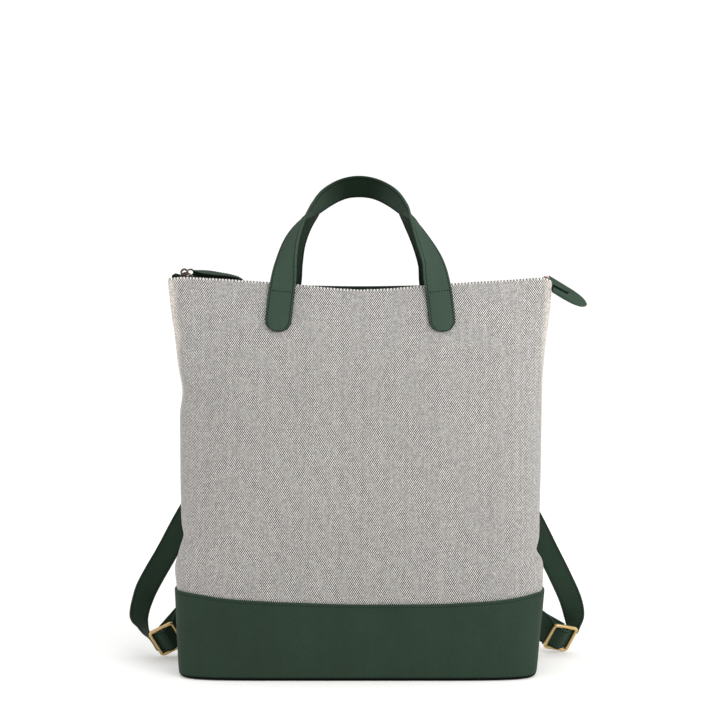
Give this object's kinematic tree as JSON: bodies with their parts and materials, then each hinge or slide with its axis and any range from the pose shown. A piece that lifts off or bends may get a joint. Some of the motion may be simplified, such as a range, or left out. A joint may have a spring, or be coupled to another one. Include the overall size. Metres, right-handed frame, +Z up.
{
  "type": "canvas backpack",
  "caption": "Tote-shaped canvas backpack with a leather base, zipped top, arched leather carrying handles and shoulder straps on slide buckles, standing on its base.",
  "frame": {"origin": "centre of the base's underside, where the bag rests", "axes": "+Z up, +X to the right seen from the front, +Y to the back where the shoulder straps are"},
  "size_m": [0.5087, 0.1681, 0.5194],
  "materials": {
    "canvas": "plain weave of two-tone yarns",
    "leather": "fine grain, satin",
    "strap_leather": "fine grain, satin, stitched near both edges",
    "zip_tape": "fine rib",
    "buckle_brass": "pale brushed brass",
    "zip_metal": "worn satin metal"
  },
  "bodies": {
    "root": {"canvas_front": "canvas", "canvas_back": "canvas", "leather_base": "leather", "handle_front": "leather", "handle_back": "leather", "strap_patch": "leather", "zip_end_tab": "leather", "zip_pull": "leather", "strap_left": "strap_leather", "strap_right": "strap_leather", "buckle_left": "buckle_brass", "buckle_right": "buckle_brass", "zip_tape_front": "zip_tape", "zip_tape_back": "zip_tape", "zip_end_left": "zip_tape", "zip_end_right": "zip_tape", "zip_teeth": "zip_metal", "zip_slider": "zip_metal", "pull_ring": "zip_metal"}
  },
  "joints": []
}
